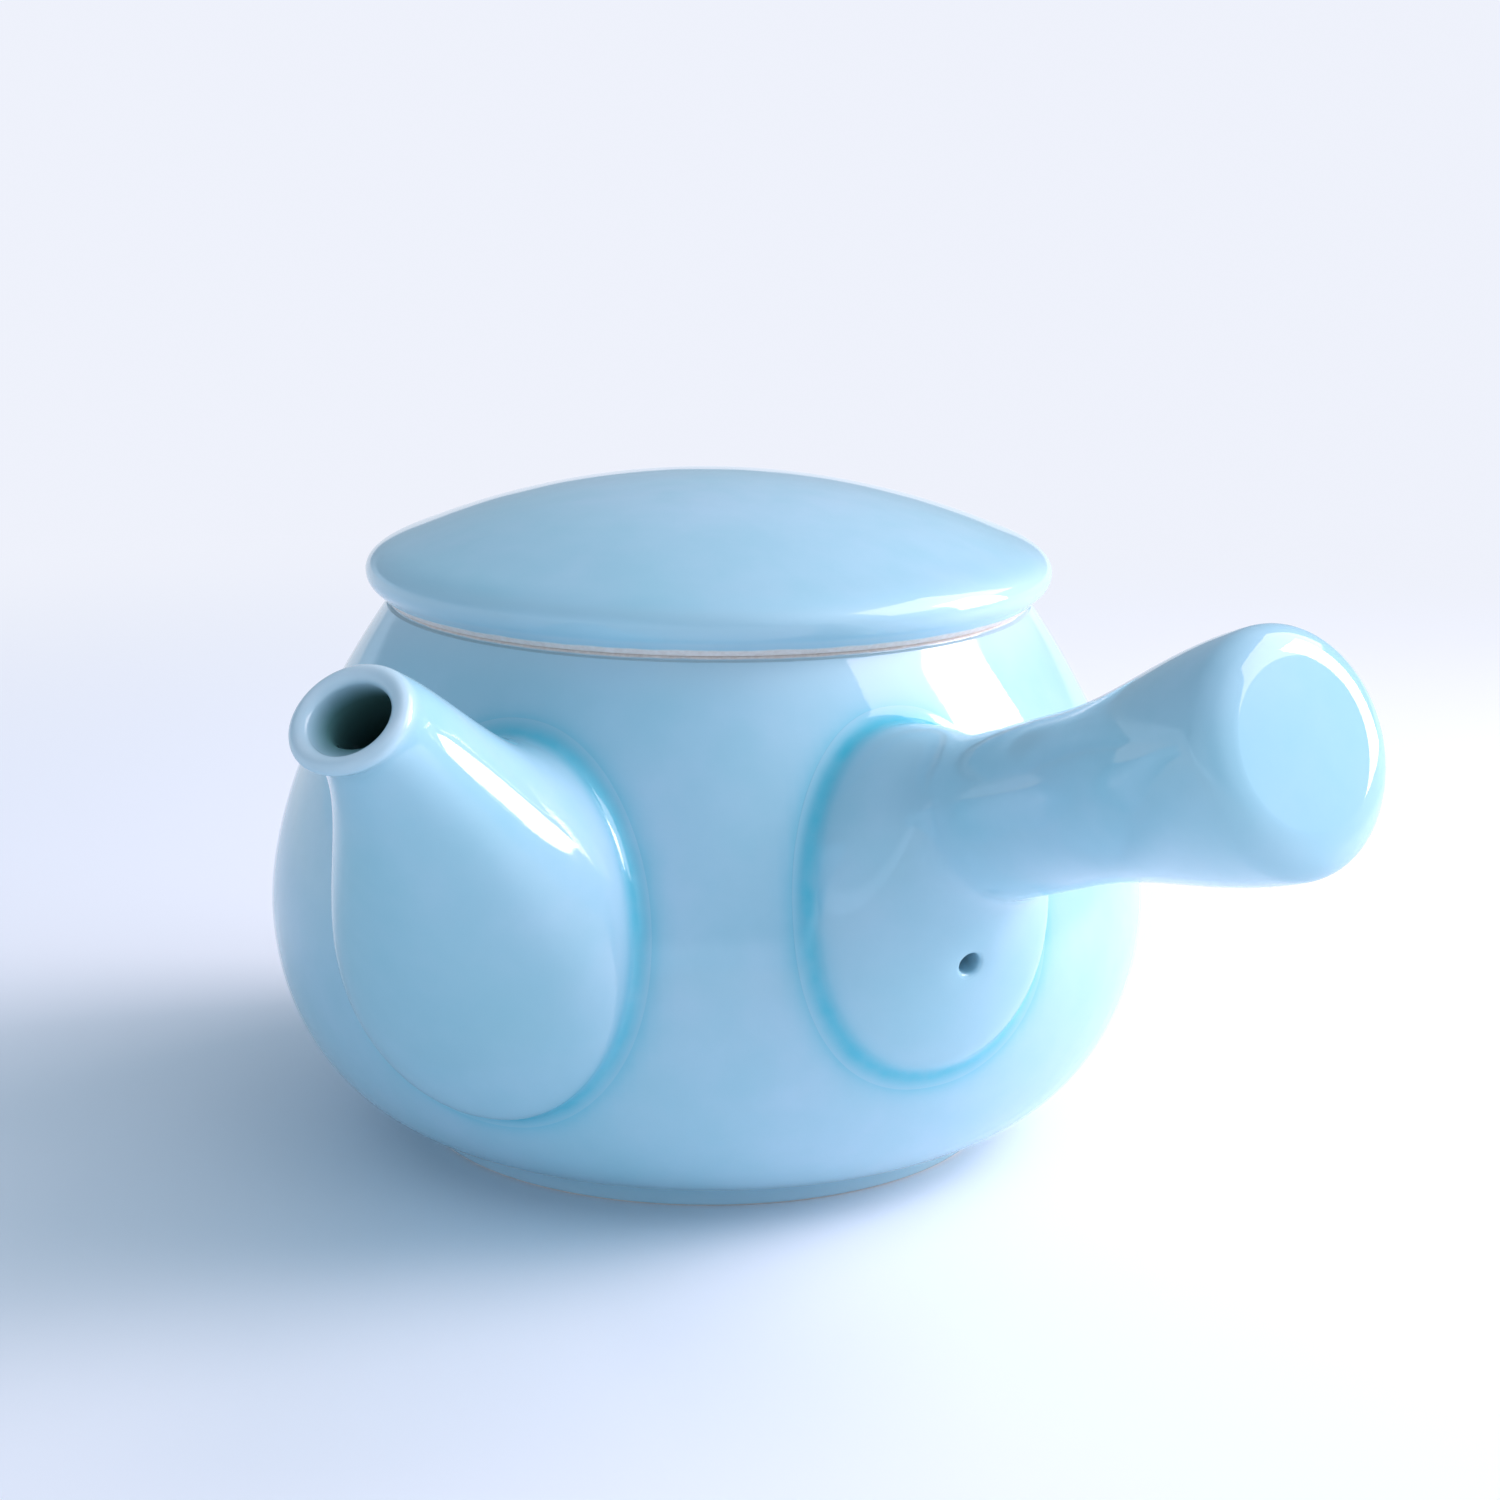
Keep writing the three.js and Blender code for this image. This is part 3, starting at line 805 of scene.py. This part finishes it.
def lidProfile():
    rim = pot["rimHeight"]
    seat = rim + lid["seatGap"]
    widest = rim + lid["widestHeight"]
    domeRadius = (lid["radius"] ** 2 + lid["domeHeight"] ** 2) / (2 * lid["domeHeight"])
    domeCentre = widest + lid["domeHeight"] - domeRadius
    edgeCentreR = lid["radius"] - lid["edgeRadius"]
    edgeCentreZ = domeCentre + math.sqrt((domeRadius - lid["edgeRadius"]) ** 2 - edgeCentreR ** 2)
    rollStart = math.degrees(math.acos(lid["rollRadius"] / domeRadius))
    roll = arcPoints((0, domeCentre), domeRadius, rollStart, rollStart, 1)[0]
    down = math.radians(rollStart - 90)
    pulled = (roll[0] + lid["rollPull"] * math.cos(down), roll[1] + lid["rollPull"] * math.sin(down))
    below = (lid["radius"], edgeCentreZ + lid["edgeRadius"] * 0.85)
    flangeOuter = pot["mouthRadius"] - lid["flangeClearance"]
    flangeInner = flangeOuter - lid["flangeThickness"]
    flangeBottom = rim - lid["flangeDepth"]
    under = domeRadius - lid["wall"]
    underEdge = math.degrees(math.acos(flangeInner / under))
    edge = lid["flangeEdge"]
    return [
        *arcPoints((0, domeCentre), under, 90, underEdge, 24),
        *linePoints((flangeInner, domeCentre + under * math.sin(math.radians(underEdge))),
                    (flangeInner, flangeBottom + edge), 5)[1:],
        *arcPoints((flangeInner + edge, flangeBottom + edge), edge, 180, 270, 5)[1:],
        *arcPoints((flangeOuter - edge, flangeBottom + edge), edge, 270, 360, 5),
        *linePoints((flangeOuter, flangeBottom + edge), (flangeOuter, seat), 5)[1:],
        *linePoints((flangeOuter, seat), (pot["rimRadius"] + lid["seatOverhang"], seat), 5)[1:],
        *arcPoints((edgeCentreR, edgeCentreZ), lid["edgeRadius"], -lid["edgeTurn"], 0, 10),
        *pulledPoints((lid["radius"], edgeCentreZ), below, pulled, roll, 20)[1:],
        *arcPoints((0, domeCentre), domeRadius, rollStart, 90, lid["domeRows"])[1:],
    ]


def lidBare(place):
    # the seat and the flange are bare, up to a seam under the edge
    radius = math.hypot(place.x, place.y)
    height = place.z - pot["rimHeight"]
    if radius > lid["radius"] - 0.004:
        return (lid["seamHeight"] - height) / 0.0005
    return 1 if height < 0.001 else 0


def lidThin(place):
    radius = math.hypot(place.x, place.y)
    height = place.z - pot["rimHeight"]
    atEdge = lid["edgeThin"] * fading(lid["radius"] - radius, lid["edgeThinReach"])
    atSeam = lid["seamThin"] * fading(height - lid["seamHeight"], lid["seamWidth"])
    return max(atEdge, atSeam)


lidPiece = throwOnWheel("lid_glazed", lidProfile(), lid["turnSteps"])
smoothFaces(lidPiece, 35)
paintBy(lidPiece, "bare", lidBare)
paintBy(lidPiece, "thin", lidThin)
dress(lidPiece, lidGlaze, "glazed_lid", "lid", "lid")
print("lid thrown and glazed:", len(lidPiece.data.polygons), "faces")


# the strainer: a domed plate on a collar, pierced in rings and luted behind the spout

strainer = {
    "radius": 0.0165,
    "bulge": 0.008,
    "wall": 0.0022,
    "collar": 0.005,
    "edgeStep": 0.0003,
    "collarEdge": 0.0006,
    "holeRadius": 0.0009,
    "holePitch": 0.0032,
    "holeRows": 4,
    "height": 0.0335,
    "wallGap": 0.0003,
    "turnSteps": 96,
}


def strainerProfile():
    sphere = (strainer["radius"] ** 2 + strainer["bulge"] ** 2) / (2 * strainer["bulge"])
    middle = strainer["bulge"] - sphere
    outer = strainer["radius"] - strainer["edgeStep"]
    inner = strainer["radius"] - strainer["wall"]
    innerTurn = math.degrees(math.acos(inner / sphere))
    outerTurn = math.degrees(math.acos(outer / sphere))
    outerMiddle = middle + strainer["wall"]
    brim = outerMiddle + math.sqrt(sphere ** 2 - outer ** 2)
    return [
        *arcPoints((0, middle), sphere, 90, innerTurn, 20),
        (inner, -strainer["collar"] + strainer["collarEdge"]),
        (inner + strainer["collarEdge"], -strainer["collar"]),
        (outer, -strainer["collar"]),
        *linePoints((outer, -strainer["collar"] + 0.0004), (outer, brim), 5),
        *arcPoints((0, outerMiddle), sphere, outerTurn, 90, 22)[1:],
    ]


def roomInPot(gap):
    # the hollow of the pot, less a gap all round, which trims the strainer to the curved wall
    wall = innerWall()
    for name in ("widest", "bottomRadius", "topRadius"):
        wall[name] -= gap
    wall["bottomHeight"] += gap
    side = wallPoints(wall, wall["bottomHeight"], pot["rimHeight"], 40)
    return [(0, wall["bottomHeight"]), *side, (0, pot["rimHeight"])]


def pierceStrainer(piece):
    # rings of six, twelve, eighteen and so on round one in the middle
    deselectAll()
    drills = []
    for row in range(strainer["holeRows"] + 1):
        count = max(1, 6 * row)
        for k in range(count):
            turn = 2 * math.pi * k / count
            away = row * strainer["holePitch"]
            place = (away * math.cos(turn), away * math.sin(turn), strainer["bulge"] / 2)
            bpy.ops.mesh.primitive_cylinder_add(vertices=20, radius=strainer["holeRadius"],
                                                depth=0.02, location=place)
            drills.append(bpy.context.object)
    deselectAll()
    for drill in drills:
        drill.select_set(True)
    bpy.context.view_layer.objects.active = drills[0]
    bpy.ops.object.join()
    cutWith(piece, bpy.context.object)


strainerPiece = throwOnWheel("strainer_glazed", strainerProfile(), strainer["turnSteps"])
pierceStrainer(strainerPiece)
startEditing(strainerPiece)
bpy.ops.transform.rotate(value=math.pi / 2, orient_axis='Y', center_override=(0, 0, 0))
seatRadius = wallRadius(innerWall(), strainer["height"]) - strainer["collar"] / 2
bpy.ops.transform.translate(value=(seatRadius, 0, strainer["height"]))
bpy.ops.object.mode_set(mode='OBJECT')
turnMesh(strainerPiece, spout["side"])
hollow = throwOnWheel("room_in_pot", roomInPot(strainer["wallGap"]), pot["turnSteps"])
cutWith(strainerPiece, hollow, 'INTERSECT')
smoothFaces(strainerPiece, 35)
dress(strainerPiece, strainerGlaze, "glazed_inside", "pot", "strainer")
print("strainer pierced:", len(strainerPiece.data.polygons), "faces")


# floor, light and camera

stage = {
    "floorRadius": 30,
    "floorRoughness": 0.6,
    "floorColour": (0.87, 0.92, 0.97, 1),
    "farColour": (0.86, 0.885, 0.97, 1),
    "fadeFrom": 0.15,
    "fadeTo": 0.45,
    "roomColour": (0.86, 1.02, 1.22),
    "roomLeast": 0.33,
    "horizonGlow": 0.5,
    "horizonLift": 9,
    "horizonTurn": -100,
    "skylineTop": 0.05,
}

# a wide curtained window close by, with a clear gap low in it
windows = {
    "window_gap": {"turn": 63.5, "distance": 0.57, "height": 0.285, "size": (0.25, 0.41), "power": 3.5},
    "window_curtain": {"turn": 59, "distance": 0.60, "height": 0.66, "size": (0.78, 0.60), "power": 5.0},
}
windowColour = (1, 0.81, 0.83)

# soft bright places in the room: turn, lift and strength
roomGlows = {
    "right": (25, 30, 0.65),
    "overWindow": (65, 50, 0.42),
    "frontLeft": (-80, 0, 0.52),
    "leftHigh": (-160, 50, 0.05),
    "behind": (145, 8, 0.10),
}
glowHalfWidth = 50


def towards(turn, lift):
    turn, lift = math.radians(turn), math.radians(lift)
    return Vector((math.cos(turn) * math.cos(lift), math.sin(turn) * math.cos(lift), math.sin(lift)))


def seenRays(nodes, links, share=None):
    # what the camera sees, and what gloss and glass show, all over or in the given share
    rays = nodes.new("ShaderNodeLightPath")
    glossy, through = rays.outputs["Is Glossy Ray"], rays.outputs["Is Transmission Ray"]
    mirrored = addMath(nodes, links, 'MAXIMUM', glossy, through)
    if share is not None:
        mirrored = addMath(nodes, links, 'MULTIPLY', mirrored, share)
    return addMath(nodes, links, 'MAXIMUM', rays.outputs["Is Camera Ray"], mirrored)


def layFloor():
    deselectAll()
    bpy.ops.mesh.primitive_circle_add(vertices=128, radius=stage["floorRadius"], fill_type='NGON',
                                      location=(0, 0, 0))
    floor = bpy.context.object
    floor.name = "floor"
    paint = bpy.data.materials.new("floor_paint")
    paint.use_nodes = True
    nodes = paint.node_tree.nodes
    links = paint.node_tree.links
    shader = nodes["Principled BSDF"]
    shader.inputs["Base Color"].default_value = stage["floorColour"]
    shader.inputs["Roughness"].default_value = stage["floorRoughness"]
    # far away the floor is only a pale backdrop
    backdrop = nodes.new("ShaderNodeEmission")
    backdrop.inputs["Color"].default_value = stage["farColour"]
    place = nodes.new("ShaderNodeTexCoord")
    away = nodes.new("ShaderNodeVectorMath")
    away.operation = 'LENGTH'
    links.new(place.outputs["Object"], away.inputs[0])
    fade = addRange(nodes, links, away.outputs["Value"], stage["fadeFrom"], stage["fadeTo"])
    both = nodes.new("ShaderNodeMixShader")
    links.new(addMath(nodes, links, 'MULTIPLY', fade, seenRays(nodes, links)), both.inputs[0])
    links.new(shader.outputs[0], both.inputs[1])
    links.new(backdrop.outputs[0], both.inputs[2])
    links.new(both.outputs[0], nodes["Material Output"].inputs["Surface"])
    floor.data.materials.append(paint)


def hangWindow(name, window):
    way = towards(window["turn"], 0)
    place = way * window["distance"] + Vector((0, 0, window["height"]))
    bpy.ops.object.light_add(type='AREA', location=place)
    lamp = bpy.context.object
    lamp.name = name
    lamp.data.shape = 'RECTANGLE'
    lamp.data.size, lamp.data.size_y = window["size"]
    lamp.data.energy = window["power"]
    lamp.data.color = windowColour
    lamp.rotation_euler = (math.radians(90), 0, math.radians(window["turn"] + 90))


def paintRoom():
    world = bpy.data.worlds.new("room")
    bpy.context.scene.world = world
    world.use_nodes = True
    nodes = world.node_tree.nodes
    links = world.node_tree.links
    way = nodes.new("ShaderNodeTexCoord").outputs["Generated"]
    edge = math.cos(math.radians(glowHalfWidth))
    # a pale band just over the table on one side, then the glows
    height = addDot(nodes, links, way, (0, 0, 1))
    bandTop = math.sin(math.radians(stage["horizonLift"]))
    low = addRange(nodes, links, height, bandTop * 1.2, bandTop * 0.8)
    sideways = addDot(nodes, links, way, towards(stage["horizonTurn"], 0))
    band = addMath(nodes, links, 'MULTIPLY', low, addRange(nodes, links, sideways, -0.2, 0.3))
    total = addMath(nodes, links, 'MULTIPLY_ADD', band, stage["horizonGlow"], stage["roomLeast"])
    for turn, lift, strength in roomGlows.values():
        toMiddle = addDot(nodes, links, way, towards(turn, lift))
        near = addRange(nodes, links, toMiddle, edge, 1)
        total = addMath(nodes, links, 'MULTIPLY_ADD', near, strength, total)
    room = nodes.new("ShaderNodeVectorMath")
    room.operation = 'SCALE'
    room.inputs[0].default_value = stage["roomColour"]
    links.new(total, room.inputs["Scale"])
    # the backdrop's colour goes on to the skyline, and gloss and glass show it there too
    skyline = addRange(nodes, links, height, stage["skylineTop"], stage["skylineTop"] * 0.4)
    seen = addMix(nodes, links, seenRays(nodes, links, skyline), room.outputs["Vector"], stage["farColour"])
    links.new(seen, nodes["Background"].inputs["Color"])


camera = {
    "place": (0.31345, -0.22357, 0.13811),
    "heading": 53.715,
    "pitch": -13.3,
    "roll": 0.544,
    "lens": 75.07,
}


def placeCamera():
    bpy.ops.object.camera_add(location=camera["place"])
    view = bpy.context.object
    turned = Euler((math.radians(90 + camera["pitch"]), 0, math.radians(camera["heading"]))).to_matrix()
    turned = turned @ Euler((0, 0, math.radians(camera["roll"]))).to_matrix()
    view.rotation_euler = turned.to_euler()
    view.data.lens = camera["lens"]
    view.data.sensor_width = 36
    view.data.clip_end = 20
    bpy.context.scene.camera = view


layFloor()
for name, window in windows.items():
    hangWindow(name, window)
paintRoom()
placeCamera()
bpy.context.scene.view_settings.view_transform = 'Standard'
print("floor, windows, room and camera set")
